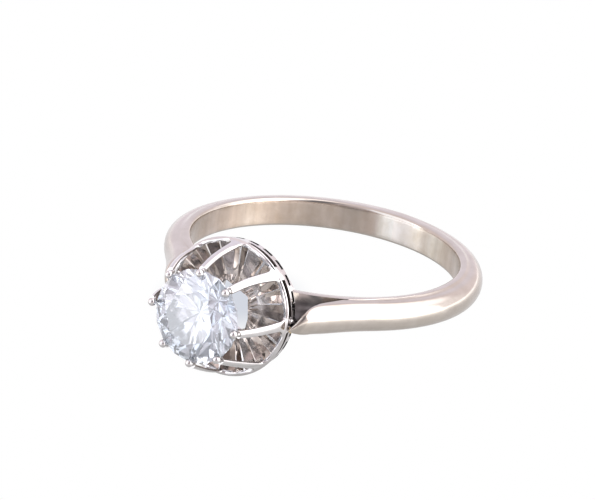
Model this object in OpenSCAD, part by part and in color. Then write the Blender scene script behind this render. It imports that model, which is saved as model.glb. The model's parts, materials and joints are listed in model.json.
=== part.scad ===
// Vintage solitaire engagement ring, white gold with one round brilliant diamond.
// Units are millimetres. The finger hole is centred on the origin, the finger points along Z
// and the stone faces along -Y, so the ring lies on its side.

/* [Band] */
// Diameter of the finger hole
finger_d = 17; // [14:0.1:22]
// Width of the band along the finger
band_w = 1.9; // [1.5:0.1:4]
// Thickness of the band from the finger hole to its outer ridge
band_t = 1.55; // [1.2:0.05:2.5]

/* [Head] */
// Outer radius of the head at its rim
rim_r = 4.3; // [4.2:0.05:5]
// Lean of the head towards the low side of the band, in degrees
head_lean = 4.3; // [0:0.1:6]
// Thickness of the claws
claw_t = 0.18; // [0.16:0.02:0.4]
// Width of a claw at its foot
claw_foot_w = 0.6; // [0.5:0.05:1]
// Width of a claw at its bead
claw_tip_w = 0.44; // [0.3:0.02:0.6]
// Radius of the round bead on each claw
bead_r = 0.26; // [0.18:0.01:0.3]
// Number of flutes cut into the cup
flute_count = 24; // [16:8:56]
// Radius of the open hole below the point of the stone
culet_hole_r = 1.6; // [1:0.05:2]

/* [Stone] */
// Diameter of the stone
stone_d = 5.8; // [5:0.1:6]

/* [Hidden] */
$fn = 96;
bore_r = finger_d / 2;
band_r = bore_r + band_t;
half_w = band_w / 2;
// heights along the head axis, measured from the finger centre
collar_h = bore_r + 1.2;
rim_bottom_h = bore_r + 2.5;
rim_h = bore_r + 2.62;
bead_h = bore_r + 6.33;
girdle_h = bore_r + 5.95;
// claws lean in from the rim to the stone
claw_foot_r = rim_r - 0.1;
claw_tip_r = stone_d / 2 + 0.22;
claws = 8;
claw_step = 360 / claws;
stone_r = stone_d / 2;
girdle_t = 0.1;
crown_h = 0.15 * stone_d;
pavilion_h = 0.43 * stone_d;
// where a leaf ends, across the band
leaf_tip_z = -0.47;

// Sub-part to draw, or "all"

shank();
coronet();
gallery();
base_ring();
fluted_cup();
diamond();
solder_fillets();

// Turns a solid drawn upward along Z into one pointing along the head axis. The head leans
// about its bead plane, so the stone stays centred and the rim drops a little.
module on_head_axis() {
    translate([0, -bead_h, 0])
        rotate([-head_lean, 0, 0])
            translate([0, bead_h, 0])
                rotate([90, 0, 0])
                    children();
}

// The clear finger hole.
module finger_hole() {
    cylinder(r = bore_r, h = 14, center = true, $fn = 180);
}

// Everything inside the outside skin of the head, from the finger up to the rim.
module head_envelope() {
    on_head_axis()
        rotate_extrude()
            polygon([
                [0, bore_r - 3],
                [3.1, bore_r - 3],
                [3.1, bore_r + 0.4],
                [4.1, collar_h + 0.2],
                [rim_r, rim_bottom_h],
                [rim_r, rim_h + 1],
                [0, rim_h + 1]
            ]);
}

// ---- Band ----

// Half-round section of the band: flat sides and a domed outside.
module band_section() {
    side_r = bore_r + 0.62;
    dome_x = band_r - side_r;
    polygon(concat(
        [
            [bore_r - 0.2, -half_w + 0.08],
            [bore_r, -half_w + 0.08],
            [bore_r + 0.08, -half_w]
        ],
        [for (i = [0:16]) let (a = -90 + i * 180 / 16)
            [side_r + dome_x * cos(a), half_w * sin(a)]],
        [
            [bore_r + 0.08, half_w],
            [bore_r, half_w - 0.08],
            [bore_r - 0.2, half_w - 0.08]
        ]
    ));
}

// Side view of the right shoulder, rising off the band to the rim of the head.
module shoulder_side() {
    polygon([
        [bore_r * 0.6, -bore_r * 0.62],
        [8.95, -4.45],
        [8.45, -5.35],
        [7.9, -6.25],
        [7.35, -7.1],
        [6.95, -7.8],
        [6.6, -8.5],
        [5.85, -9.9],
        [5.45, -10.5],
        [4.95, -10.95],
        [4.0, -11.1],
        [3.9, -10.7],
        [3.6, -9.7],
        [3.0, -8.9],
        [3.0, -7.6]
    ]);
}

// Half-round upper surface, tangent to the ridge at a point and running along a direction.
module ridge_envelope(point, direction_deg, dome_r) {
    translate([point[0], point[1], 0])
        rotate([0, 0, direction_deg]) {
            translate([0, -dome_r, 0])
                rotate([0, 90, 0])
                    cylinder(r = dome_r, h = 24, center = true, $fn = 72);
            translate([-12, -12, -dome_r])
                cube([24, 12 - dome_r, 2 * dome_r]);
        }
}

// Outline of the leaf seen from outside: full width first, then a curved point that drops
// towards the low side of the band, where the head leans.
module leaf_outline() {
    leaf_direction = 34;
    translate([7.35, -7.1, 0])
        rotate([0, 0, -90 - leaf_direction])
            rotate([90, 0, 0])
                linear_extrude(height = 14, center = true)
                    polygon([
                        [-4, -1.1],
                        [3.1, -1.1],
                        [3.8, -0.95],
                        [4.1, -0.89],
                        [4.5, -0.76],
                        [4.75, -0.68],
                        [4.95, leaf_tip_z - 0.12],
                        [5.6, leaf_tip_z - 0.12],
                        [5.6, leaf_tip_z + 0.12],
                        [4.95, leaf_tip_z + 0.12],
                        [4.75, -0.24],
                        [4.5, -0.02],
                        [4.1, 0.38],
                        [3.87, 0.57],
                        [3.56, 0.76],
                        [3.2, 0.89],
                        [2.9, 1.1],
                        [-4, 1.1]
                    ]);
}

// The hollow cut into each side of a shoulder, between the leaf and the finger rail.
module shoulder_scoop() {
    polygon([
        [6.1, -6.95],
        [5.98, -7.7],
        [5.75, -8.5],
        [5.2, -9.6],
        [4.75, -10.2],
        [4.3, -10.5],
        [3.9, -9.9],
        [2.9, -9.2],
        [2.9, -8.62],
        [3.79, -8.3],
        [4.6, -7.87],
        [5.45, -7.29]
    ]);
}

module right_shoulder() {
    web = 0.5;
    rise_deg = -118.4;
    difference() {
        intersection() {
            linear_extrude(height = band_w, center = true)
                shoulder_side();
            leaf_outline();
            ridge_envelope([6.95, -7.8], rise_deg, 1.05);
        }
        for (side = [-1, 1])
            translate([0, 0, side * (web / 2 + 2)])
                linear_extrude(height = 4, center = true)
                    shoulder_scoop();
    }
}

module shank() {
    band_start = -42;
    color([0.86, 0.84, 0.82])
        difference() {
            union() {
                rotate([0, 0, band_start])
                    rotate_extrude(angle = 180 - 2 * band_start, $fn = 180)
                        band_section();
                right_shoulder();
                mirror([1, 0, 0])
                    right_shoulder();
            }
            finger_hole();
            head_envelope();
            for (side = [0, 1])
                mirror([side, 0, 0])
                    solder_slug();
        }
}

// ---- Head ----

// Space taken by the stone, used to cut the notches in the claws.
module stone_space() {
    rotate_extrude($fn = 192)
        polygon([
            [0, girdle_h - pavilion_h],
            [stone_r, girdle_h],
            [stone_r, girdle_h + girdle_t],
            [stone_r * 0.58, girdle_h + girdle_t + crown_h],
            [0, girdle_h + girdle_t + crown_h]
        ]);
}

// Arched opening between two claws, cut outward along X.
module claw_window() {
    half_gap_foot = claw_foot_r * sin(claw_step / 2) - claw_foot_w / 2;
    half_gap_tip = claw_tip_r * sin(claw_step / 2) - claw_tip_w / 2;
    arch = 0.35;
    right_side = concat(
        [for (i = [0:4]) let (a = i * 90 / 4)
            [half_gap_foot - arch + arch * sin(a), rim_h + arch - arch * cos(a)]],
        [[half_gap_tip, bead_h], [half_gap_tip, bead_h + 2]]
    );
    left_side = [for (i = [len(right_side) - 1:-1:0]) [-right_side[i][0], right_side[i][1]]];
    rotate([90, 0, 90])
        linear_extrude(height = 8)
            polygon(concat(right_side, left_side));
}

module coronet() {
    color([0.9, 0.9, 0.9])
        on_head_axis()
            difference() {
                union() {
                    difference() {
                        rotate_extrude($fn = 192)
                            polygon([
                                [claw_foot_r - claw_t, rim_bottom_h],
                                [rim_r, rim_bottom_h],
                                [rim_r, rim_h - 0.07],
                                [claw_foot_r, rim_h],
                                [claw_tip_r, bead_h],
                                [claw_tip_r - claw_t, bead_h],
                                [claw_foot_r - claw_t, rim_h]
                            ]);
                        for (i = [0:claws - 1])
                            rotate([0, 0, (i + 0.5) * claw_step])
                                claw_window();
                    }
                    for (i = [0:claws - 1])
                        rotate([0, 0, i * claw_step])
                            translate([claw_tip_r - claw_t / 2, 0, bead_h])
                                sphere(r = bead_r, $fn = 48);
                }
                stone_space();
            }
}

// Pierced strip: one long slot under each window, and a row of small ones below them.
module gallery() {
    wall = 0.32;
    upper_slot_h = 0.58;
    lower_slot_h = 0.26;
    slots_below = 3 * claws;
    color([0.84, 0.83, 0.82])
        on_head_axis()
            difference() {
                rotate_extrude()
                    polygon([
                        [3.9 - wall, collar_h],
                        [3.9, collar_h],
                        [4.1, collar_h + 0.2],
                        [4.12, collar_h + 0.7],
                        [rim_r, rim_bottom_h],
                        [claw_foot_r - claw_t, rim_bottom_h],
                        [claw_foot_r - claw_t, rim_bottom_h - 0.25],
                        [4.12 - wall, collar_h + 0.7],
                        [4.1 - wall, collar_h + 0.2]
                    ]);
                for (i = [0:claws - 1])
                    rotate([0, 0, (i + 0.5) * claw_step])
                        translate([2, -1.15, rim_bottom_h - 0.03 - upper_slot_h])
                            cube([4, 2.3, upper_slot_h]);
                for (i = [0:slots_below - 1])
                    rotate([0, 0, (i + 0.5) * 360 / slots_below])
                        translate([2, -0.36, collar_h + 0.21])
                            cube([4, 0.72, lower_slot_h]);
            }
}

// Collar between the gallery and the finger. Its lower edge lies on the finger hole.
module base_ring() {
    color([0.82, 0.81, 0.8])
        difference() {
            on_head_axis()
                rotate_extrude()
                    polygon([
                        [2.05, bore_r - 1],
                        [3.1, bore_r - 1],
                        [3.1, bore_r + 0.4],
                        [3.9, collar_h],
                        [3.3, collar_h],
                        [2.05, bore_r + 0.6]
                    ]);
            finger_hole();
        }
}

// Bright-cut plate behind the stone, fluted like a flower, open in the middle.
module fluted_cup() {
    cup_r = claw_foot_r - claw_t;
    seat_r = rim_r - 0.5;
    edge_h = rim_h - 0.06;
    floor_h = rim_h - 0.42;
    cup_t = 0.3;
    floor_r = 2.05;
    groove = 0.4;
    tilt = atan2(0.2, cup_r - floor_r);
    color([0.66, 0.62, 0.6])
        on_head_axis()
            difference() {
                rotate_extrude()
                    polygon([
                        [culet_hole_r, floor_h - cup_t],
                        [seat_r, rim_bottom_h - 0.25],
                        [cup_r, rim_bottom_h - 0.12],
                        [cup_r, edge_h],
                        [floor_r, floor_h],
                        [culet_hole_r, floor_h]
                    ]);
                for (i = [0:flute_count - 1])
                    rotate([0, 0, (i + 0.5) * 360 / flute_count])
                        translate([floor_r, 0, floor_h + groove * 0.72])
                            rotate([0, tilt, 0])
                                rotate([45, 0, 0])
                                    translate([-0.05, -groove / 2, -groove / 2])
                                        cube([3, groove, groove]);
            }
}

// ---- Stone ----

// A ring of corners at one height, evenly spaced from a start angle.
function corner_ring(count, r, start, h) =
    [for (i = [0:count - 1]) let (a = start + i * 360 / count) [r * cos(a), r * sin(a), h]];

// Round brilliant: table, eight stars, eight crown mains and sixteen breaks above the girdle,
// eight mains and sixteen breaks below it.
module diamond() {
    crown_slope = 34.5;
    pavilion_slope = 40.8;
    table_r = 0.57 * stone_r;
    crown_mid_r = 0.8 * stone_r;
    pavilion_mid_r = 0.24 * stone_r;
    half_step = 22.5;
    top = girdle_t;
    table_rise = (stone_r - table_r) * tan(crown_slope);
    crown_mid_rise = (stone_r - crown_mid_r * cos(half_step)) * tan(crown_slope);
    pavilion_mid_drop = (stone_r - pavilion_mid_r * cos(half_step)) * tan(pavilion_slope);
    culet_drop = stone_r * tan(pavilion_slope);
    corners = concat(
        corner_ring(8, table_r, 0, top + table_rise),
        corner_ring(8, crown_mid_r, half_step, top + crown_mid_rise),
        corner_ring(16, stone_r, 0, top),
        corner_ring(16, stone_r, 0, 0),
        corner_ring(8, pavilion_mid_r, half_step, -pavilion_mid_drop),
        [[0, 0, -culet_drop]]
    );
    // first corner of each ring
    mid = 8;
    girdle_top = 16;
    girdle_low = 32;
    pav = 48;
    culet = 56;
    faces = concat(
        [[for (i = [7:-1:0]) i]],
        [for (i = [0:7]) [i, (i + 1) % 8, mid + i]],
        [for (i = [0:7]) [i, mid + i, girdle_top + 2 * i, mid + (i + 7) % 8]],
        [for (i = [0:7]) [mid + i, girdle_top + 2 * i + 1, girdle_top + 2 * i]],
        [for (i = [0:7]) [mid + i, girdle_top + (2 * i + 2) % 16, girdle_top + 2 * i + 1]],
        [for (i = [0:15]) let (j = (i + 1) % 16)
            [girdle_top + i, girdle_top + j, girdle_low + j, girdle_low + i]],
        [for (i = [0:7]) [pav + i, girdle_low + 2 * i, girdle_low + 2 * i + 1]],
        [for (i = [0:7]) [pav + i, girdle_low + 2 * i + 1, girdle_low + (2 * i + 2) % 16]],
        [for (i = [0:7]) [culet, pav + (i + 7) % 8, girdle_low + 2 * i, pav + i]]
    );
    color([0.9, 0.95, 1, 0.6])
        on_head_axis()
            translate([0, 0, girdle_h])
                polyhedron(points = corners, faces = faces);
}

// ---- Solder ----

// Space of the joint where the right leaf tip meets the rim.
module solder_slug() {
    slug_r = 0.26;
    translate([rim_r - 0.3, -rim_h + 0.22, leaf_tip_z])
        rotate([0, 90, 0])
            cylinder(r = slug_r, h = 0.48, $fn = 32);
}

module solder_fillets() {
    color([0.78, 0.68, 0.5])
        for (side = [0, 1])
            mirror([side, 0, 0])
                difference() {
                    solder_slug();
                    head_envelope();
                }
}
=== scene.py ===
import json
import math
from collections import namedtuple

import bmesh
import bpy
import numpy as np
from mathutils import Matrix, Vector


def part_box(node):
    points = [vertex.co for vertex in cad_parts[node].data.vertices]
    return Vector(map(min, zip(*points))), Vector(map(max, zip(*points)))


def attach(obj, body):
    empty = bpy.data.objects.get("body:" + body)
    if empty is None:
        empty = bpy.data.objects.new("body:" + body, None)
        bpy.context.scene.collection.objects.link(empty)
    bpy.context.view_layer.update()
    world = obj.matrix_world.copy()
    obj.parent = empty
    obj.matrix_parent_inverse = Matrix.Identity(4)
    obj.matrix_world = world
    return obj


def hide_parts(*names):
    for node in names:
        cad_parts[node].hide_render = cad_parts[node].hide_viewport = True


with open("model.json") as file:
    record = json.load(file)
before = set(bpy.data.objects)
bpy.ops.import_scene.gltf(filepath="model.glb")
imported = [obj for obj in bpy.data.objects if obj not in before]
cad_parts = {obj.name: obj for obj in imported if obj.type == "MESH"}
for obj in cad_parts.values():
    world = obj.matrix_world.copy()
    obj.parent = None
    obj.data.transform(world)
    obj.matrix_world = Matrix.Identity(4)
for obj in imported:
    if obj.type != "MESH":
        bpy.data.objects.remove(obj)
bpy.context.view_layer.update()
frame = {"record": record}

# Lengths below are millimetres in the row frame: the finger hole's centre is the origin, the
# finger lies along Z and the stone faces -Y. Heights "h" run along the head axis, so h = -y.
MM = 0.001


def half_size(node, axis):
    """Half of a CAD node's size along one axis of the row frame, in mm."""
    low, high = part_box(node)
    return round((high[axis] - low[axis]) / 2 / MM, 2)


BORE_R = next(m["dims"]["r_mm"] for m in frame["record"]["mounts"] if m["name"] == "finger_bore")
HALF_W = half_size("shank", 2)
RIM_R = half_size("coronet", 0)
STONE_R = half_size("diamond", 0)
# the head's heights and radii follow from those, as in the CAD
COLLAR_H = BORE_R + 1.2
RIM_LOW = BORE_R + 2.5
RIM_H = BORE_R + 2.62
GIRDLE_H = BORE_R + 5.95
BEAD_H = BORE_R + 6.33
CLAW_FOOT_R = RIM_R - 0.1
CLAW_TIP_R = STONE_R + 0.22
CLAW_T = 0.18
BEAD_R = 0.26
LEAF_TIP_Z = -0.47
CLAWS = 8
CLAW_PITCH = 2 * math.pi / CLAWS
LEAN = math.radians(4.3)
rng = np.random.default_rng(7)


# ---------------------------------------------------------------- helpers

def spline(keys):
    """Natural cubic spline through (x, y) keys, held at its end values beyond them."""
    x, y = np.array(keys, float).T
    n = len(x)
    gap = np.diff(x)
    system = np.eye(n)
    target = np.zeros(n)
    for i in range(1, n - 1):
        system[i, i - 1:i + 2] = gap[i - 1], 2 * (gap[i - 1] + gap[i]), gap[i]
        target[i] = 6 * ((y[i + 1] - y[i]) / gap[i] - (y[i] - y[i - 1]) / gap[i - 1])
    bend = np.linalg.solve(system, target)

    def value_at(t):
        t = min(max(t, x[0]), x[-1])
        i = min(max(int(np.searchsorted(x, t)) - 1, 0), n - 2)
        past, left = t - x[i], x[i + 1] - t
        return float((bend[i] * left ** 3 + bend[i + 1] * past ** 3) / (6 * gap[i])
                     + (y[i] / gap[i] - bend[i] * gap[i] / 6) * left
                     + (y[i + 1] / gap[i] - bend[i + 1] * gap[i] / 6) * past)
    return value_at


def smooth(t):
    """0 up to t = 0, 1 from t = 1 and a soft rise between them."""
    t = min(max(t, 0.0), 1.0)
    return t * t * (3 - 2 * t)


def leaning(x, h, z):
    """A point of the head, which leans a little about its bead plane."""
    y = BEAD_H - h
    return (x, y * math.cos(LEAN) + z * math.sin(LEAN) - BEAD_H,
            z * math.cos(LEAN) - y * math.sin(LEAN))


def polar(r, angle, h):
    """A point of the head: radius and angle round its axis, height from the finger centre."""
    return leaning(r * math.cos(angle), h, r * math.sin(angle))


def mesh_from(name, verts, faces):
    """A mesh from millimetre vertices."""
    mesh = bpy.data.meshes.new(name)
    mesh.from_pydata([tuple(c * MM for c in v) for v in verts], [], faces)
    return mesh


def piece(name, verts, faces, material, node, sharp, weld=0.0, masks=None):
    """A piece that stands for a CAD node, riding on the one body. Edges sharper than `sharp`
    degrees stay crisp, and masks hold one number for each vertex."""
    mesh = mesh_from(name, verts, faces)
    for mask, values in (masks or {}).items():
        mesh.attributes.new(mask, "FLOAT", "POINT").data.foreach_set("value", values)
    bm = bmesh.new()
    bm.from_mesh(mesh)
    if weld:
        bmesh.ops.remove_doubles(bm, verts=bm.verts, dist=weld * MM)
    bmesh.ops.recalc_face_normals(bm, faces=bm.faces)
    bm.to_mesh(mesh)
    bm.free()
    mesh.shade_smooth()
    mesh.set_sharp_from_angle(angle=math.radians(sharp))
    obj = bpy.data.objects.new(name, mesh)
    bpy.context.scene.collection.objects.link(obj)
    mesh.materials.append(material)
    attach(obj, "root")
    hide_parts(node)
    return obj


def mask_faces(obj, mask, values):
    """Gives a piece a mask with one number for each face."""
    obj.data.attributes.new(mask, "FLOAT", "FACE").data.foreach_set("value", values)


def grid_faces(rows, cols, close_cols=False, close_rows=False, start=0):
    """Quads over a rows x cols grid of vertices."""
    faces = []
    for i in range(rows if close_rows else rows - 1):
        for j in range(cols if close_cols else cols - 1):
            a = start + i * cols + j
            b = start + i * cols + (j + 1) % cols
            c = start + ((i + 1) % rows) * cols + (j + 1) % cols
            d = start + ((i + 1) % rows) * cols + j
            faces.append((a, b, c, d))
    return faces


def tube_faces(rows, cols, start):
    """Faces of a closed tube of rows x cols vertices, with a flat face at each end."""
    last = start + (rows - 1) * cols
    ends = [tuple(range(first, first + cols)) for first in (start, last)]
    return grid_faces(rows, cols, close_cols=True, start=start) + ends


def ball_angles(rows, cols):
    """(latitude, longitude) of each vertex of a ball, row by row from its lower end."""
    return [(math.pi * (i + 0.5) / rows - math.pi / 2, 2 * math.pi * j / cols)
            for i in range(rows) for j in range(cols)]


# ---------------------------------------------------------------- material helpers

def nodes_of(material):
    """An emptied node tree with a Principled shader on its output."""
    material.use_nodes = True
    tree = material.node_tree
    tree.nodes.clear()
    out = tree.nodes.new("ShaderNodeOutputMaterial")
    shader = tree.nodes.new("ShaderNodeBsdfPrincipled")
    tree.links.new(shader.outputs["BSDF"], out.inputs["Surface"])
    return tree, shader


def feed(tree, socket, value):
    """Links a socket to a node's output, or sets it to a number, a vector or a colour."""
    if isinstance(value, bpy.types.NodeSocket):
        tree.links.new(value, socket)
    elif socket.type == "RGBA":
        socket.default_value = (*value, 1)
    else:
        socket.default_value = value


def ramp(tree, source, stops):
    """A colour for each level of a value, from (level, colour) stops."""
    node = tree.nodes.new("ShaderNodeValToRGB")
    elements = node.color_ramp.elements
    while len(elements) < len(stops):
        elements.new(0.5)
    for element, (level, colour) in zip(elements, stops):
        element.position = level
        element.color = (*colour, 1)
    tree.links.new(source, node.inputs["Fac"])
    return node.outputs["Color"]


def noise(tree, coord, scale, detail, rough, stretch=None):
    """Cloudy noise with `scale` cells to the metre, pulled out where stretch is small."""
    if stretch:
        mapping = tree.nodes.new("ShaderNodeMapping")
        mapping.inputs["Scale"].default_value = stretch
        tree.links.new(coord, mapping.inputs["Vector"])
        coord = mapping.outputs["Vector"]
    node = tree.nodes.new("ShaderNodeTexNoise")
    node.inputs["Scale"].default_value = scale
    node.inputs["Detail"].default_value = detail
    node.inputs["Roughness"].default_value = rough
    tree.links.new(coord, node.inputs["Vector"])
    return node.outputs["Fac"]


def bump(tree, height, strength, distance_mm, normal=None):
    """A surface normal disturbed by a height, on top of an earlier one if there is one."""
    node = tree.nodes.new("ShaderNodeBump")
    node.inputs["Strength"].default_value = strength
    node.inputs["Distance"].default_value = distance_mm * MM
    tree.links.new(height, node.inputs["Height"])
    if normal:
        tree.links.new(normal, node.inputs["Normal"])
    return node.outputs["Normal"]


def mixed(tree, factor, a, b, kind="RGBA", blend="MIX"):
    """a where factor is 0 and b where it is 1, as colours, or as numbers of kind FLOAT."""
    node = tree.nodes.new("ShaderNodeMix")
    node.data_type = kind
    node.blend_type = blend
    for name, value in (("Factor", factor), ("A", a), ("B", b)):
        feed(tree, node.inputs[name], value)
    return node.outputs["Result"]


def maths(tree, kind, operation, *values):
    """The number that a Math or VectorMath node gives for some numbers, vectors or sockets."""
    node = tree.nodes.new("ShaderNode" + kind)
    node.operation = operation
    for socket, value in zip(node.inputs, values):
        feed(tree, socket, value)
    return node.outputs["Value"]


def remap(tree, value, low, high, to_low=0.0, to_high=1.0, rise="LINEAR"):
    """A value's place between two levels, stretched to lie between two others."""
    node = tree.nodes.new("ShaderNodeMapRange")
    node.interpolation_type = rise
    for name, level in (("From Min", low), ("From Max", high), ("To Min", to_low),
                        ("To Max", to_high)):
        node.inputs[name].default_value = level
    tree.links.new(value, node.inputs["Value"])
    return node.outputs["Result"]


def soft_step(tree, value, low, high):
    """0 at one level of a value, 1 at another and a soft rise between them."""
    return remap(tree, value, low, high, rise="SMOOTHSTEP")


# ---------------------------------------------------------------- materials

# Part of a piece where the finish differs: the mask that marks it, the mask's levels where it
# begins and is complete, its darkest and lightest tone, its roughness, and a function that
# shades it further.
Zone = namedtuple("Zone", "mask low high dark light rough shading", defaults=(None,))


def white_gold(name, dark, light, rough_low, rough_high, dent, scratch, grain=0.0, zones=()):
    """Polished white gold: cloudy tone, uneven polish, soft dents, hair scratches, cast grain."""
    material = bpy.data.materials.new(name)
    tree, shader = nodes_of(material)
    coord = tree.nodes.new("ShaderNodeTexCoord").outputs["Object"]
    tone = noise(tree, coord, scale=900, detail=4, rough=0.6)
    colour = ramp(tree, tone, [(0.3, dark), (0.7, light)])
    polish = noise(tree, coord, scale=1500, detail=5, rough=0.65)
    gloss = remap(tree, polish, 0.3, 0.75, rough_low, rough_high)
    for zone in zones:
        marked = tree.nodes.new("ShaderNodeAttribute")
        marked.attribute_name = zone.mask
        inside = soft_step(tree, marked.outputs["Fac"], zone.low, zone.high)
        finish = ramp(tree, tone, [(0.3, zone.dark), (0.7, zone.light)])
        if zone.shading:
            finish = zone.shading(tree, coord, finish)
        colour = mixed(tree, inside, colour, finish)
        gloss = mixed(tree, inside, gloss, zone.rough, kind="FLOAT")
    tree.links.new(colour, shader.inputs["Base Color"])
    tree.links.new(gloss, shader.inputs["Roughness"])
    dents = noise(tree, coord, scale=700, detail=2, rough=0.5)
    normal = bump(tree, dents, dent, 0.02)
    streaks = noise(tree, coord, scale=5200, detail=2, rough=0.5, stretch=(0.12, 0.12, 1.0))
    hairs = ramp(tree, streaks, [(0.62, (0, 0, 0)), (0.66, (1, 1, 1))])
    normal = bump(tree, hairs, scratch, 0.002, normal)
    if grain:
        grains = noise(tree, coord, scale=9000, detail=3, rough=0.6)
        normal = bump(tree, grains, grain, 0.01, normal)
    tree.links.new(normal, shader.inputs["Normal"])
    shader.inputs["Metallic"].default_value = 1.0
    return material


# Painted reflections round the inside of the band, as dark stretches and bright glints: 0 and 1
# are at its back and 0.5 is under the head.
BORE_REFLECTIONS = [(0.0, (0.58, 0.66, 0.76)), (0.017, (0.56, 0.62, 0.70)), (0.026, (0.44, 0.44, 0.47)),
          (0.06, (0.44, 0.445, 0.48)), (0.125, (0.50, 0.50, 0.52)), (0.155, (0.58, 0.56, 0.56)),
          (0.185, (0.68, 0.68, 0.70)), (0.21, (0.58, 0.56, 0.57)), (0.25, (0.50, 0.50, 0.54)),
          (0.86, (0.52, 0.53, 0.58)), (0.905, (0.56, 0.58, 0.62)), (0.935, (0.76, 0.84, 0.92)),
          (0.95, (0.60, 0.64, 0.70)), (0.962, (0.76, 0.83, 0.92)), (0.98, (0.60, 0.66, 0.76))]


def bore_reflections_and_streaks(tree, coord, finish):
    """Painted reflections round the inside of the band, as darker and brighter stretches, with
    streaks across it.
    """
    split = tree.nodes.new("ShaderNodeSeparateXYZ")
    tree.links.new(coord, split.inputs[0])
    to_head = maths(tree, "Math", "MULTIPLY", split.outputs["Y"], -1.0)
    angle = maths(tree, "Math", "ARCTAN2", split.outputs["X"], to_head)
    around = maths(tree, "Math", "MULTIPLY_ADD", angle, 0.5 / math.pi, 0.5)
    tones = ramp(tree, around, BORE_REFLECTIONS)
    streaks = noise(tree, coord, scale=1100, detail=3, rough=0.6, stretch=(1.0, 1.0, 0.06))
    lift = ramp(tree, streaks, [(0.3, (1.55, 1.55, 1.56)), (0.7, (1.9, 1.9, 1.9))])
    for layer in (tones, lift):
        finish = mixed(tree, 1.0, finish, layer, blend="MULTIPLY")
    return finish


# painted shade: the inside of the gallery and the back of the cup are darkened
INSIDE_SHADE = Zone("inside_shade", 0.0, 1.0, (0.075, 0.065, 0.060), (0.135, 0.117, 0.108), 0.5)
# the inside of the band: its own warmer finish, with painted reflections laid over it
BORE = Zone("bore", 0.4, 0.9, (0.50, 0.415, 0.32), (0.60, 0.52, 0.43), 0.24, bore_reflections_and_streaks)
# painted shade in the shoulders' scoops and in the groove that runs on from them
SCOOP_SHADE = Zone("scoop", 0.1, 0.9, (0.072, 0.066, 0.066), (0.115, 0.107, 0.103), 0.33)
DULL_CUT = Zone("dull_cut", 0.0, 1.0, (0.17, 0.14, 0.123), (0.29, 0.247, 0.217), 0.16)
# painted highlight along the flat tops of the cuts
RIDGE_HIGHLIGHT = Zone("ridge", 0.8, 0.97, (0.66, 0.64, 0.62), (0.90, 0.89, 0.88), 0.22)

band_gold = white_gold("band_white_gold", (0.42, 0.382, 0.335), (0.475, 0.437, 0.395), 0.10, 0.21,
                       dent=0.25, scratch=0.25, zones=(BORE, SCOOP_SHADE))
head_gold = white_gold("head_white_gold", (0.50, 0.485, 0.475), (0.58, 0.565, 0.56), 0.06, 0.16,
                       dent=0.3, scratch=0.2, grain=0.1, zones=(INSIDE_SHADE,))
cup_gold = white_gold("bright_cut_gold", (0.38, 0.33, 0.295), (0.60, 0.54, 0.495), 0.06, 0.17,
                      dent=0.2, scratch=0.25, grain=0.2, zones=(DULL_CUT, RIDGE_HIGHLIGHT, INSIDE_SHADE))
solder_gold = white_gold("solder_gold", (0.52, 0.40, 0.24), (0.66, 0.54, 0.36), 0.2, 0.4,
                         dent=0.6, scratch=0.2, grain=0.4)


def diamond_material(name, tint, haze, milk):
    """Cut stone: clear glass of diamond's index, a film of haze on it and a little milkiness."""
    material = bpy.data.materials.new(name)
    tree, shader = nodes_of(material)
    coord = tree.nodes.new("ShaderNodeTexCoord").outputs["Object"]
    film = noise(tree, coord, scale=1200, detail=3, rough=0.6)
    dimmed = tuple(0.96 * c for c in tint)
    tree.links.new(ramp(tree, film, [(0.35, dimmed), (0.7, tint)]), shader.inputs["Base Color"])
    wear = noise(tree, coord, scale=2600, detail=4, rough=0.6)
    tree.links.new(remap(tree, wear, 0.35, 0.75, *haze), shader.inputs["Roughness"])
    shader.inputs["Transmission Weight"].default_value = 1.0 - milk
    shader.inputs["IOR"].default_value = 2.417
    return material


stone_face = diamond_material("cut_diamond", (0.78, 0.85, 0.92), (0.0, 0.01), 0.1)
stone_back = diamond_material("worn_diamond_back", (0.75, 0.82, 0.92), (0.004, 0.03), 0.14)


# ---------------------------------------------------------------- shank

# Profiles against the angle from the head, in degrees: the ridge's distance from the finger's
# centre, half the ridge's width, the height of its dome, and how far it drops across the band.
ridge_at = spline([(19, 10.4), (20, 11.2), (20.6, 11.6), (21.3, 11.88), (22, 11.98), (23.5, 11.97),
                   (25, 11.9), (30, 11.36), (34, 10.93), (38, 10.58), (42, 10.32), (46, 10.16),
                   (52, 10.08), (60, 10.06), (90, 10.06), (180, 10.06)])
width_at = spline([(19, 0.03), (21.4, 0.04), (21.9, 0.07), (22.7, 0.19), (23.6, 0.34),
                   (24.2, 0.455), (25, 0.59), (25.9, 0.71), (27, 0.82), (28.4, 0.89), (30, 0.93),
                   (34, 0.955), (42, 0.95), (180, 0.95)])
dome_at = spline([(19, 0.03), (22, 0.05), (23.2, 0.12), (24.2, 0.2), (25.2, 0.31), (26.4, 0.47),
                  (28, 0.69), (30, 0.84), (34, 0.89), (38, 0.88), (44, 0.87), (52, 0.86),
                  (180, 0.86)])
# the leaf's point drops towards the low side of the band
drop_at = spline([(19, -LEAF_TIP_Z), (21.4, -LEAF_TIP_Z), (22.7, 0.39), (23.6, 0.31),
                  (24.2, 0.225), (25, 0.135), (25.9, 0.06), (27, 0.0), (28.4, -0.035),
                  (30, -0.025), (34, 0.0), (180, 0.0)])
# The band's side between the bore and the rail: (height above the bore, half width).
BORE_EDGE = [(0, 0.0), (0, 0.3), (0, 0.6), (0.005, 0.76), (0.03, 0.85), (0.08, 0.915),
             (0.16, 0.945)]
GROOVE_END = 72

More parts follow.
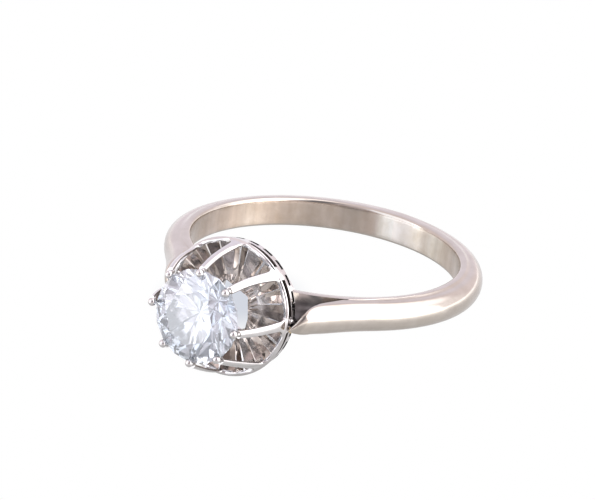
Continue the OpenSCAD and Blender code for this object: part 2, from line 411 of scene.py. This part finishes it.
# The left shoulder has the shorter scoop, with far less painted shade in it, and its leaf was
# filed down further.
Shoulder = namedtuple("Shoulder", "side reach filed_by grime")
RIGHT = Shoulder(side=1, reach=41.5, filed_by=0.0, grime=1.0)
LEFT = Shoulder(side=-1, reach=35.5, filed_by=0.24, grime=0.12)


def rail_at(phi):
    """Outer edge of the rail along the bore, which the scoop in each shoulder leaves standing."""
    return 8.92 + 0.2 * smooth((58 - phi) / 16)


def shank_half_section(phi, reach):
    """Outline from the middle of the bore to the ridge, as (radius, half width) points."""
    web_t, wall_share = 0.2, 0.16
    wall_steps, dome_steps = 9, 14
    ridge, width, dome = ridge_at(phi), max(width_at(phi), 0.02), max(dome_at(phi), 0.03)
    edge = ridge - dome
    rail = rail_at(phi)
    # the scoop runs out into a faint groove along the side of the band
    groove = smooth((GROOVE_END - phi) / 26)
    opening = max(smooth((reach - phi) / 8), 0.035 * groove)
    side = 0.5 - 0.42 * smooth((45 - phi) / 19)
    high = max(edge - side, rail + 0.02 + 0.16 * groove)
    points = [(BORE_R + up, z) for up, z in BORE_EDGE]
    points += [(rail - 0.09, HALF_W), (rail - 0.03, HALF_W - 0.012 * opening)]
    for i in range(wall_steps + 1):
        t = i / wall_steps
        sunk = smooth(min(t, 1 - t) / wall_share) * opening
        rim_z = HALF_W + (width - HALF_W) * smooth((t - 0.5) * 2) if opening else HALF_W
        web_z = web_t + (min(web_t, width * 0.85) - web_t) * smooth((t - 0.55) / 0.45)
        points.append((rail + (high - rail) * t, rim_z + (web_z - rim_z) * sunk))
    points += [(high + share * (edge - high), width) for share in (0.25, 0.7)]
    for i in range(dome_steps):
        a = i / dome_steps * math.pi / 2
        points.append((edge + dome * math.sin(a), width * math.cos(a) ** 0.95))
    points.append((edge + dome, 0.0))
    return points


def build_shank():
    """The band with its leaf shoulders, built as two halves from the back to the leaf's point."""
    phis = [180 - 3 * i for i in range(42)] + [54 - 0.5 * i for i in range(1, 56)]
    phis += [26.5 - 0.25 * i for i in range(1, 33)]
    verts, faces, shade_in_scoop, in_bore = [], [], [], []
    for side, reach, filed_by, grime in (RIGHT, LEFT):
        start = len(verts)
        for phi in phis:
            half = shank_half_section(phi, reach)
            loop = half + [(r, -z) for r, z in half[-2:0:-1]]
            high = ridge_at(phi) - dome_at(phi)
            drop, rail = drop_at(phi), rail_at(phi)
            a = math.radians(phi)
            filed = filed_by * smooth((50 - phi) / 22)
            # painted shade along the groove on the band's side
            groove_shade_share = 0.27 * smooth((GROOVE_END - phi) / 20)
            for r, z in loop:
                sag = drop * smooth((r - rail) / max(high - rail, 0.3))
                cut_r = r - filed * smooth((r - 9.2) / 1.2)
                verts.append((side * cut_r * math.sin(a), -cut_r * math.cos(a), z - sag))
                # painted shade: the scoop and the groove are darkened between the rail and the
                # ridge
                inset = abs(z) < HALF_W - 0.03 or phi < 25
                deep = smooth((reach - phi) / 3.5) if inset else 0.0
                between = rail + 0.02 < r < high - 0.03
                shade_in_scoop.append(grime * max(deep, groove_shade_share) if between else 0.0)
                in_bore.append(1.0 if r < BORE_R + 0.02 else 0.0)
        cols = len(loop)
        faces += grid_faces(len(phis), cols, close_cols=True, start=start)
        last = start + (len(phis) - 1) * cols
        faces.append(tuple(range(last, last + cols)))
    # the two halves meet at the back of the band, where their last ring of vertices is shared
    return piece("band_and_shoulders", verts, faces, band_gold, "shank", sharp=40,
                 weld=0.0005, masks={"scoop": shade_in_scoop, "bore": in_bore})


# ---------------------------------------------------------------- coronet

# steps along half of a window's edge: down the claw, round the arch, along the rim
SIDE_STEPS, ARCH_STEPS, FOOT_STEPS = 14, 8, 12
ARCH_R = 0.34
# How far each claw's tip was pushed (round the head, outwards) when the stone was set, in mm.
PUSHED = [(-0.22, -0.05), (0.16, -0.15), (0.08, -0.2), (0.06, 0.03), (-0.09, 0.06), (0.31, -0.11),
          (0.23, -0.12), (-0.02, -0.07)]
# How far each claw bows halfway up, in the same two directions.
BOWED = [(-0.03, 0.04), (0.09, 0.05), (0.08, 0.1), (0.0, 0.19), (0.0, 0.16), (0.0, 0.08),
         (0.0, 0.06), (0.0, 0.04)]


def claw_width(h):
    """Width of a claw at one height."""
    up = (h - RIM_H) / (BEAD_H - RIM_H)
    return float(np.interp(up, [0, 0.3, 0.6, 1], [0.6, 0.52, 0.48, 0.44]))


def outer_r(h):
    """Radius of the head's outside: a rounded rim, then a cone up to the beads."""
    if h >= RIM_H:
        return CLAW_FOOT_R + (CLAW_TIP_R - CLAW_FOOT_R) * (h - RIM_H) / (BEAD_H - RIM_H)
    down = min(1.0, (RIM_H - h) / 0.12)
    return CLAW_FOOT_R + (RIM_R - CLAW_FOOT_R) * math.sin(down * math.pi / 2)


def inner_r(h):
    """Radius of the head's inside."""
    return outer_r(max(h, RIM_H)) - CLAW_T


def crowned_r(h, f):
    """Outside with each claw slightly rounded; f runs from 0 at its edge to 1 at its middle."""
    return outer_r(h) + 0.085 * (1 - (1 - f) ** 2) * smooth((h - RIM_H) / 0.9)


def bent(claw, r, angle, h):
    """A point of one claw, carried along with its tip."""
    round_head, outwards = PUSHED[claw % CLAWS]
    bow_round, bow_out = BOWED[claw % CLAWS]
    bends_from = RIM_H + 0.36
    f = max(0.0, (h - bends_from) / (BEAD_H - bends_from))
    bow = math.sin(math.pi * min(1.0, f) ** 1.15) * smooth(f / 0.15)
    around = (round_head * f + bow_round * bow) / CLAW_TIP_R
    return polar(r + outwards * f + bow_out * bow, angle + around, h)


def window_edge():
    """Half of one window, (distance round the head, height), from the bead to the middle."""
    top, swell = BEAD_H - 0.27, 0.09
    arch_h = RIM_H + ARCH_R
    points = []
    for h in np.linspace(top, arch_h, SIDE_STEPS + 1):
        points.append((outer_r(h) * math.sin(CLAW_PITCH / 2) - claw_width(h) / 2, h))
    flat = points[-1][0] - ARCH_R
    for i in range(1, ARCH_STEPS):
        a = i / ARCH_STEPS * math.pi / 2
        points.append((flat + ARCH_R * math.cos(a), arch_h - ARCH_R * math.sin(a)))
    for i in range(FOOT_STEPS + 1):
        t = 1 - i / FOOT_STEPS
        points.append((flat * t, RIM_H + swell * (1 + math.cos(t * math.pi)) / 2))
    return points


def patch_row(near, h, far_angle, far_h):
    """A row of (radius, angle, height) over the metal beside a window: along the outside to the
    opening's edge, round that edge, and back along the inside."""
    bevel, steps = 0.05, 6
    run = math.hypot((far_angle - near) * outer_r(h), far_h - h)

    def across(f):
        return near + (far_angle - near) * f, h + (far_h - h) * f

    first = bevel / run
    shares = [first + (1 - first) * (j / steps) for j in range(steps + 1)]
    row = [(crowned_r(across(f)[1], f), *across(f)) for f in reversed(shares)]
    row.append((outer_r(h) - 0.3 * bevel, *across(0.3 * first)))
    row += [(outer_r(h) - bevel, near, h), (inner_r(h) + bevel, near, h)]
    row += [(inner_r(across(f)[1]), *across(f)) for f in shares]
    return row


def coronet_skin():
    """The rim and the claws, as two mirrored patches of metal round each window."""
    half = window_edge()
    half_step = CLAW_PITCH / 2
    foot_from = SIDE_STEPS + ARCH_STEPS
    verts, faces = [], []
    for k in range(CLAWS):
        centre = (k + 0.5) * CLAW_PITCH
        for side in (1, -1):
            start = len(verts)
            for i, (t, h) in enumerate(half):
                # the metal reaches from the opening to the claw's middle, then to the rim's foot
                far_angle, far_h = half_step, h
                if i > SIDE_STEPS:
                    down = min(1.0, (i - SIDE_STEPS) / ARCH_STEPS)
                    far_h = RIM_H + ARCH_R + (RIM_LOW - RIM_H - ARCH_R) * down
                if i > foot_from:
                    far_angle = half_step * (1 - (i - foot_from) / FOOT_STEPS)
                row = patch_row(t / outer_r(h), h, far_angle, far_h)
                claw = k + 1 if side == 1 else k
                verts += [bent(claw, r, centre + side * a, up) for r, a, up in row]
            faces += grid_faces(len(half), len(row), start=start)
    return verts, faces


def head_height(point):
    """Height along the head's axis, in mm, of a point in metres."""
    y, z = point.y / MM + BEAD_H, point.z / MM
    return BEAD_H - (y * math.cos(LEAN) - z * math.sin(LEAN))


def bead_rings(claw, sides):
    """Rings of vertices up the short neck and round bead at one claw's tip."""
    tilt = math.atan2(CLAW_FOOT_R - CLAW_TIP_R, BEAD_H - RIM_H)
    round_head, outwards = PUSHED[claw]
    angle = claw * CLAW_PITCH + round_head / CLAW_TIP_R
    axis_r = CLAW_TIP_R - 0.15 + outwards
    profile = [(0.17, -0.46), (0.17, -0.34), (0.155, -0.26), (0.15, -0.2)]
    profile += [(BEAD_R * math.cos(t), BEAD_R * math.sin(t) + 0.03)
                for t in np.linspace(-0.9, math.pi / 2 * 0.95, 11)]
    rings = []
    for r, up in profile:
        ring = []
        for i in range(sides):
            b = i / sides * 2 * math.pi
            radial, tangent = r * math.cos(b), r * math.sin(b)
            out = axis_r + radial * math.cos(tilt) - up * math.sin(tilt)
            h = BEAD_H + up * math.cos(tilt) + radial * math.sin(tilt)
            x = out * math.cos(angle) - tangent * math.sin(angle)
            z = out * math.sin(angle) + tangent * math.cos(angle)
            ring.append(leaning(x, h, z))
        rings.append(ring)
    return rings


def build_coronet():
    """The rim and claws, closed at their borders, with a bead on each claw."""
    rough = mesh_from("coronet_rough", *coronet_skin())
    bm = bmesh.new()
    bm.from_mesh(rough)
    bpy.data.meshes.remove(rough)
    bmesh.ops.remove_doubles(bm, verts=bm.verts, dist=0.0008 * MM)
    # underside of the rim: bridge its two border loops
    under_rim = [e for e in bm.edges if e.is_boundary
                 and all(abs(head_height(v.co) - RIM_LOW) < 1e-3 for v in e.verts)]
    bmesh.ops.bridge_loops(bm, edges=under_rim)
    claw_ends = [e for e in bm.edges if e.is_boundary]
    bmesh.ops.holes_fill(bm, edges=claw_ends, sides=0)
    bmesh.ops.recalc_face_normals(bm, faces=bm.faces)
    verts = [tuple(c / MM for c in v.co) for v in bm.verts]
    faces = [tuple(v.index for v in f.verts) for f in bm.faces]
    bm.free()
    sides = 20
    for claw in range(CLAWS):
        rings = bead_rings(claw, sides)
        faces += tube_faces(len(rings), sides, start=len(verts))
        verts += [v for ring in rings for v in ring]
    return piece("claw_coronet", verts, faces, head_gold, "coronet", sharp=50)


# ---------------------------------------------------------------- gallery

SECTOR = 360 // CLAWS
# angles of the columns within one claw's sector, in degrees, and heights of the levels
COLUMNS = [0, 1.25, 2.5, 4.25, 6, 7.6, 9.2, 10.8, 12.5, 14, 15.6, 17.5, 19, 21, 23, 25, 27.5, 29.8,
           32.5, 34.5, 36.6, 38.5, 40.5, 42.5, 43.75]
LEVELS = [COLLAR_H + up for up in (0, 0.1, 0.21, 0.47, 0.69, 1.27)] + [RIM_LOW]
# where the two pierced rows are open, in degrees within the sector
SLOTS = {2: [(2.5, 12.5), (17.5, 27.5), (32.5, 42.5)], 4: [(6, 38.5)]}
GALLERY_T = 0.3


def is_metal(row, col):
    """Whether the gallery is solid between two levels and two columns."""
    angle = COLUMNS[col % len(COLUMNS)]
    slotted = any(low <= angle < high for low, high in SLOTS.get(row, ()))
    return 0 <= row < len(LEVELS) - 1 and not slotted


def pierced_strip():
    """Vertices and faces of the gallery's strip, its outer skin's vertices first."""
    angles = [k * SECTOR + a for k in range(CLAWS) for a in COLUMNS]
    cols = len(angles)
    radii = np.interp(LEVELS, [COLLAR_H, COLLAR_H + 0.2, COLLAR_H + 0.7, RIM_LOW],
                      [3.9, 4.1, 4.14, RIM_R - 0.03])
    verts = [polar(float(r) - inset, math.radians(a), h)
             for inset in (0, GALLERY_T) for r, h in zip(radii, LEVELS) for a in angles]

    def corners(skin, row, col):
        cells = ((row, col), (row, col + 1), (row + 1, col + 1), (row + 1, col))
        return [(skin * len(LEVELS) + level) * cols + c % cols for level, c in cells]

    faces = []
    for row in range(len(LEVELS) - 1):
        for col in range(cols):
            if not is_metal(row, col):
                continue
            a, b, c, d = corners(0, row, col)
            e, f, g, h = corners(1, row, col)
            faces += [(a, b, c, d), (h, g, f, e)]
            # a wall through the strip wherever the next cell is open
            for next_row, next_col, wall in ((row, col - 1, (a, d, h, e)),
                                             (row, col + 1, (c, b, f, g)),
                                             (row - 1, col, (a, b, f, e)),
                                             (row + 1, col, (d, c, g, h))):
                if not is_metal(next_row, next_col):
                    faces.append(wall)
    return verts, faces


def build_gallery():
    """The pierced strip under the rim, with painted shade inside, and the grains beside the
    leaves.
    """
    verts, faces = pierced_strip()
    outer_count = len(verts) // 2
    # painted shade on the faces of the strip's inner skin
    inside = [0.0 if min(face) < outer_count else 1.0 for face in faces]
    # two small grains side by side where each leaf's point meets the head
    rows, sides = 9, 12
    grain_r, ring_r, grain_h = 0.18, 4.25, 10.6
    for angle in (3.0, -2.1, 177.0, 182.1):
        start = len(verts)
        for lat, lon in ball_angles(rows, sides):
            r = ring_r + grain_r * math.cos(lat) * math.cos(lon)
            around = math.radians(angle) + grain_r * math.cos(lat) * math.sin(lon) / ring_r
            verts.append(polar(r, around, grain_h + 1.1 * grain_r * math.sin(lat)))
        faces += tube_faces(rows, sides, start)
    inside += [0.0] * (len(faces) - len(inside))
    obj = piece("pierced_gallery", verts, faces, head_gold, "gallery", sharp=35)
    mask_faces(obj, "inside_shade", inside)
    bevel = obj.modifiers.new("soft_edges", "BEVEL")
    bevel.width = 0.03 * MM
    bevel.segments = 2
    bevel.limit_method = "ANGLE"
    bevel.angle_limit = math.radians(40)
    return obj


# ---------------------------------------------------------------- base ring

def build_base_ring():
    """The collar, whose lower edge follows the finger hole where its outline gives no height."""
    sides = 128
    outline = [(3.1, None), (3.1, 8.7), (3.13, 8.85), (3.2, 8.95), (3.84, 9.64), (3.9, COLLAR_H),
               (3.3, COLLAR_H), (3.22, 9.66), (2.1, 9.14), (2.05, 9.05), (2.05, None)]
    verts = []
    for i in range(sides):
        a = i / sides * 2 * math.pi
        for r, h in outline:
            if h is None:
                drop = math.sqrt((BORE_R + 0.01) ** 2 - (r * math.cos(a)) ** 2)
                h = BEAD_H - (BEAD_H - drop - r * math.sin(a) * math.sin(LEAN)) / math.cos(LEAN)
            verts.append(polar(r, a, h))
    faces = grid_faces(sides, len(outline), close_cols=True, close_rows=True)
    return piece("collar", verts, faces, head_gold, "base_ring", sharp=30)


# ---------------------------------------------------------------- fluted cup

# Corners of the culet hole, a hand-cut polygon, round the head's axis.
HOLE = [(-0.70, 1.53), (1.07, 0.87), (1.31, -0.45), (1.23, -1.12), (0.80, -1.34), (-0.30, -1.60),
        (-1.15, -1.20), (-1.50, -0.30), (-1.35, 0.70)]


def hole_radius(a):
    """Distance to the edge of the culet hole at angle a."""
    ux, uz = math.cos(a), math.sin(a)
    for (x0, z0), (x1, z1) in zip(HOLE, HOLE[1:] + HOLE[:1]):
        ex, ez = x1 - x0, z1 - z0
        det = ux * ez - uz * ex
        if abs(det) < 1e-9:
            continue
        r = (x0 * ez - z0 * ex) / det
        along = (x0 * uz - z0 * ux) / det
        if r > 0 and -1e-6 <= along <= 1 + 1e-6:
            return r
    raise ValueError("the culet hole doesn't surround its axis")


def v_cut(flat, valley):
    """Points across one cut, as (place, share of its depth): a flat top, a face down to the
    valley and a face up again."""
    fall, rise = valley - flat, 1 - valley
    places = (0.0, flat, flat + 0.06, flat + 0.35 * fall, flat + 0.7 * fall, valley,
              valley + 0.3 * rise, valley + 0.6 * rise, valley + 0.85 * rise, 0.96)
    return [(place, float(np.interp(place, (flat, valley, 1), (0, 1, 0)))) for place in places]


def build_cup():
    """The plate inside the claws, with uneven V cuts fanning out from the culet hole."""
    flutes, per = 24, 10
    n = flutes * per
    floor_h, edge_h, under_h = RIM_H - 0.42, RIM_H - 0.06, 10.28
    edge_r, floor_r = 4.01, 1.95
    jitter = rng.uniform(-0.3, 0.3, flutes)
    deep = rng.uniform(0.6, 1.2, flutes)
    valley_at = rng.uniform(0.3, 0.7, flutes)
    starts = rng.uniform(0.0, 0.25, flutes)
    flat_top = rng.uniform(0.05, 0.12, flutes)
    pits = rng.normal(0, 0.012, (3, n))
    ridge_highlight_share = rng.uniform(0.8, 1.1, flutes)
    dull = rng.uniform(-0.5, 1.3, 2 * flutes).clip(0, 1)
    around = [i / n * 2 * math.pi for i in range(n)]
    # three rings round the hole, pitted a little
    verts = []
    for ring, grow in enumerate((0.0, 0.12, 0.26)):
        for a, pit in zip(around, pits[ring]):
            verts.append(polar(hole_radius(a) + grow, a, floor_h - 0.02 + pit * (ring + 0.5)))
    on_ridge = [0.0] * len(verts)
    for r in (floor_r, 2.1, 2.3, 2.55, 2.8, 3.05, 3.3, 3.5, 3.66, 3.82, 3.94, edge_r):
        t = (r - floor_r) / (edge_r - floor_r)
        ridge_h = floor_h + (edge_h - floor_h) * t
        shallower = 1 - 0.62 * smooth((r - 3.5) / 0.5)
        for f in range(flutes):
            begin, end = f + jitter[f], f + 1 + jitter[(f + 1) % flutes]
            opened = max(0.0, t - starts[f]) / (1 - starts[f])
            depth = 0.4 * deep[f] * opened * shallower
            for p, (place, share) in enumerate(v_cut(flat_top[f], valley_at[f])):
                a = (begin + (end - begin) * place) / flutes * 2 * math.pi
                # painted highlight on each cut's flat top, stronger on some cuts than others
                on_ridge.append(smooth(t * 2) * ridge_highlight_share[f] if p < 2 else 0.0)
                verts.append(polar(max(r, hole_radius(a) + 0.3), a, ridge_h - depth * share))
    top_rows = len(verts) // n
    for r, h in ((edge_r, 10.87), (3.8, 10.74), (3.4, 10.64), (2.2, 10.3), (1.9, under_h)):
        verts += [polar(r, a, h) for a in around]
    verts += [polar(hole_radius(a), a, under_h) for a in around]
    on_ridge += [0.0] * (len(verts) - len(on_ridge))
    faces = grid_faces(len(verts) // n, n, close_cols=True, close_rows=True)
    obj = piece("bright_cut_cup", verts, faces, cup_gold, "fluted_cup", sharp=12,
                masks={"ridge": on_ridge})
    # each plane of each cut is dulled differently, and the back of the cup is darkened as painted
    # shade
    tones, inside_shade = [], []
    for i in range(len(faces)):
        row, flute, falling = i // n, i % n // per, i % per >= per // 2
        tones.append(dull[2 * flute + falling] if 2 <= row < top_rows else 0.35)
        inside_shade.append(1.0 if row >= top_rows else 0.0)
    mask_faces(obj, "dull_cut", tones)
    mask_faces(obj, "inside_shade", inside_shade)
    return obj


# ---------------------------------------------------------------- diamond

def build_diamond():
    """A round brilliant of 57 facets and a girdle of 16 flat sides."""
    crown, pavilion = math.radians(34.5), math.radians(40.8)
    table_r, mid_r, pav_r = 0.57 * STONE_R, 0.8 * STONE_R, 0.24 * STONE_R
    half = math.pi / 8
    girdle_t = 0.1
    top = GIRDLE_H + girdle_t

    def ring(count, r, start, h):
        return [polar(r, start + i * 2 * math.pi / count, h) for i in range(count)]

    def crown_h(r):
        return top + (STONE_R - r) * math.tan(crown)

    def pavilion_h(r):
        return GIRDLE_H - (STONE_R - r) * math.tan(pavilion)

    verts = ring(8, table_r, 0, crown_h(table_r))
    verts += ring(8, mid_r, half, crown_h(mid_r * math.cos(half)))
    verts += ring(16, STONE_R, 0, top) + ring(16, STONE_R, 0, GIRDLE_H)
    verts += ring(8, pav_r, half, pavilion_h(pav_r * math.cos(half)))
    verts.append((0, -pavilion_h(0), 0))
    # where each ring begins among the vertices, and the culet after them
    mid, upper, lower, pav, culet = 8, 16, 32, 48, 56
    faces = [tuple(range(8))]
    for i in range(8):
        after, before = (i + 1) % 8, (i + 7) % 8
        at, beside, next_at = 2 * i, 2 * i + 1, (2 * i + 2) % 16
        faces += [(i, mid + i, after),
                  (i, mid + before, upper + at, mid + i),
                  (mid + i, upper + at, upper + beside),
                  (mid + i, upper + beside, upper + next_at),
                  (pav + i, lower + beside, lower + at),
                  (pav + i, lower + next_at, lower + beside),
                  (culet, pav + i, lower + at, pav + before)]
    for i in range(16):
        j = (i + 1) % 16
        faces.append((upper + i, lower + i, lower + j, upper + j))
    obj = piece("brilliant", verts, faces, stone_face, "diamond", sharp=0.1)
    obj.data.shade_flat()
    # the back facets have not been cleaned as well as the crown
    obj.data.materials.append(stone_back)
    for face in obj.data.polygons:
        facing_back = face.normal.y * math.cos(LEAN) - face.normal.z * math.sin(LEAN)
        face.material_index = 1 if facing_back > 0.05 else 0
    return obj


# ---------------------------------------------------------------- solder

def build_solder():
    """An uneven drop of solder at each leaf's point."""
    rows, sides = 12, 20
    verts, faces = [], []
    for side in (1, -1):
        start = len(verts)
        for lat, lon in ball_angles(rows, sides):
            lumps = 1 + 0.12 * math.sin(3 * lon + 1) * math.cos(2 * lat) + 0.08 * math.cos(5 * lon)
            x = 4.5 + 0.16 * lumps * math.cos(lat) * math.cos(lon)
            h = 10.86 + 0.24 * lumps * math.sin(lat)
            z = LEAF_TIP_Z + 0.2 * lumps * math.cos(lat) * math.sin(lon)
            verts.append((side * x, -h, z))
        faces += tube_faces(rows, sides, start)
    return piece("solder_joints", verts, faces, solder_gold, "solder_fillets", sharp=60)


build_shank()
build_coronet()
build_gallery()
build_base_ring()
build_cup()
build_diamond()
build_solder()


# ---------------------------------------------------------------- stage

scene = bpy.context.scene
scene.view_settings.view_transform = "Standard"

# The ring lies on the rim of its head and on the far edge of its band, so the floor leans a
# little against the band's own plane. Lights are placed by a turn round the floor's normal from
# FRONT, the side that the photograph was taken from.
FLOOR_NORMAL = Vector((0, -0.174, 0.985)).normalized()
FLOOR_POINT = Vector((0, -11.26, -4.6)) * MM
FLOOR_SIZE = 8.0
FRONT = Vector((0.465, -0.817, 0.34))
FRONT = (FRONT - FRONT.dot(FLOOR_NORMAL) * FLOOR_NORMAL).normalized()
TO_THE_RIGHT = FLOOR_NORMAL.cross(FRONT)


def heading(turn, height):
    """A direction: a turn from the front, positive to its right, and a height over the floor."""
    t, e = math.radians(turn), math.radians(height)
    flat = FRONT * math.cos(t) + TO_THE_RIGHT * math.sin(t)
    return flat * math.cos(e) + FLOOR_NORMAL * math.sin(e)


def floor_material():
    """White table, a little glossy, glowing, with painted light that grows towards the two big
    softboxes.
    """
    material = bpy.data.materials.new("floor_white")
    tree, shader = nodes_of(material)
    shader.inputs["Base Color"].default_value = (0.16, 0.16, 0.16, 1)
    shader.inputs["Roughness"].default_value = 0.2
    shader.inputs["Emission Color"].default_value = (1, 1, 1, 1)
    geometry = tree.nodes.new("ShaderNodeNewGeometry")
    place = geometry.outputs["Position"]
    strength = 0.56
    # painted light: the table's glow grows towards each softbox
    for turn, near, far, gain in ((75, 14, 40, 1.3), (-70, 18, 45, 0.8)):
        distance = maths(tree, "VectorMath", "DOT_PRODUCT", place, heading(turn, 0))
        glow = soft_step(tree, distance, near * MM, far * MM)
        strength = maths(tree, "Math", "MULTIPLY_ADD", glow, gain, strength)
    tree.links.new(strength, shader.inputs["Emission Strength"])
    # seen directly the table is clean white, with a soft shade only under the head
    shade_centre = Vector((-4.3, -3.2, -3.1)) * MM
    distance = maths(tree, "VectorMath", "DISTANCE", place, shade_centre)
    shade = soft_step(tree, distance, 1.2 * MM, 5.6 * MM)
    white = tree.nodes.new("ShaderNodeEmission")
    tree.links.new(ramp(tree, shade, [(0, (0.66, 0.69, 0.76)), (1, (1, 1, 1))]),
                   white.inputs["Color"])
    # from below it is clear, so the underside of the ring can be seen
    seen = tree.nodes.new("ShaderNodeLightPath").outputs["Is Camera Ray"]
    clear = tree.nodes.new("ShaderNodeBsdfTransparent")
    surface = shader.outputs["BSDF"]
    for factor, other in ((seen, white.outputs["Emission"]),
                          (geometry.outputs["Backfacing"], clear.outputs["BSDF"])):
        mix = tree.nodes.new("ShaderNodeMixShader")
        for socket, source in zip(mix.inputs, (factor, surface, other)):
            tree.links.new(source, socket)
        surface = mix.outputs["Shader"]
    tree.links.new(surface, tree.nodes["Material Output"].inputs["Surface"])
    return material


def build_floor():
    """The table, a square under the ring."""
    s = FLOOR_SIZE / 2
    mesh = bpy.data.meshes.new("floor")
    mesh.from_pydata([(-s, -s, 0), (s, -s, 0), (s, s, 0), (-s, s, 0)], [], [(0, 1, 2, 3)])
    mesh.materials.append(floor_material())
    floor = bpy.data.objects.new("floor", mesh)
    scene.collection.objects.link(floor)
    lie = FLOOR_NORMAL.to_track_quat("Z", "Y").to_matrix().to_4x4()
    floor.matrix_world = Matrix.Translation(FLOOR_POINT) @ lie


# The studio's walls, and softer and darker patches on them: (turn, height) of a patch's middle,
# the degrees from it where the patch is full and where it ends, and its colour.
WALL = (1.36, 1.22, 1.27)
PATCHES = [((-172, 20), 12, 38, (1.28, 1.2, 1.34)),
           ((-10, 25), 20, 60, (0.98, 0.88, 0.95)),
           ((-8, -2), 8, 40, (0.58, 0.50, 0.50)),
           ((14, 30), 5, 20, (0.26, 0.26, 0.29)),
           ((14, 58), 5, 20, (0.26, 0.26, 0.29)),
           ((106, 16), 8, 27, (1.75, 1.65, 1.7)),
           ((120, 55), 18, 34, (2.9, 2.8, 2.9))]


def build_world():
    """The pale studio that the metal and the stone reflect."""
    world = bpy.data.worlds.new("studio")
    scene.world = world
    world.use_nodes = True
    tree = world.node_tree
    tree.nodes.clear()
    out = tree.nodes.new("ShaderNodeOutputWorld")
    back = tree.nodes.new("ShaderNodeBackground")
    tree.links.new(back.outputs["Background"], out.inputs["Surface"])
    direction = tree.nodes.new("ShaderNodeTexCoord").outputs["Generated"]
    colour = WALL
    for middle, full, end, tint in PATCHES:
        near = maths(tree, "VectorMath", "DOT_PRODUCT", direction, heading(*middle))
        inside = soft_step(tree, near, math.cos(math.radians(end)), math.cos(math.radians(full)))
        colour = mixed(tree, inside, colour, tint)
    tree.links.new(colour, back.inputs["Color"])
    back.inputs["Strength"].default_value = 1.0


def softbox(name, turn, height, away, size, radiance, colour=(1, 1, 1)):
    """A rectangular softbox `away` mm from the ring, facing it."""
    data = bpy.data.lights.new(name, "AREA")
    data.shape = "RECTANGLE"
    data.size, data.size_y = size[0] * MM, size[1] * MM
    data.energy = radiance * math.pi * data.size * data.size_y
    data.color = colour
    light = bpy.data.objects.new(name, data)
    scene.collection.objects.link(light)
    light.visible_camera = False
    outward = heading(turn, height)
    side = FLOOR_NORMAL.cross(outward).normalized()
    facing = Matrix((side, outward.cross(side), outward)).transposed().to_4x4()
    light.matrix_world = Matrix.Translation(outward * away * MM) @ facing


def build_camera():
    """The photograph's viewing angle: turned to the stone's right, raised above the band's plane
    and rolled until the floor is level."""
    turned, raised, rolled = (math.radians(a) for a in (29.6089, 19.9065, 7.4213))
    data = bpy.data.cameras.new("camera")
    data.sensor_width = 36
    data.lens = 240.9
    data.clip_start = 0.01
    data.clip_end = 10
    camera = bpy.data.objects.new("camera", data)
    scene.collection.objects.link(camera)
    camera.matrix_world = (Matrix.Translation(Vector((114.586, -205.093, 85.499)) * MM)
                           @ Matrix.Rotation(turned, 4, "Z")
                           @ Matrix.Rotation(math.pi / 2 - raised, 4, "X")
                           @ Matrix.Rotation(rolled, 4, "Z"))
    scene.camera = camera


build_floor()
build_world()
softbox("right_softbox", 68, 27, 400, (400, 560), 2.7)
softbox("left_softbox", -67, 25, 400, (310, 560), 0.6, (1.7, 2.0, 2.3))
softbox("warm_edge_light", -86, 8, 420, (55, 330), 1.6, (1.0, 0.93, 0.82))
build_camera()
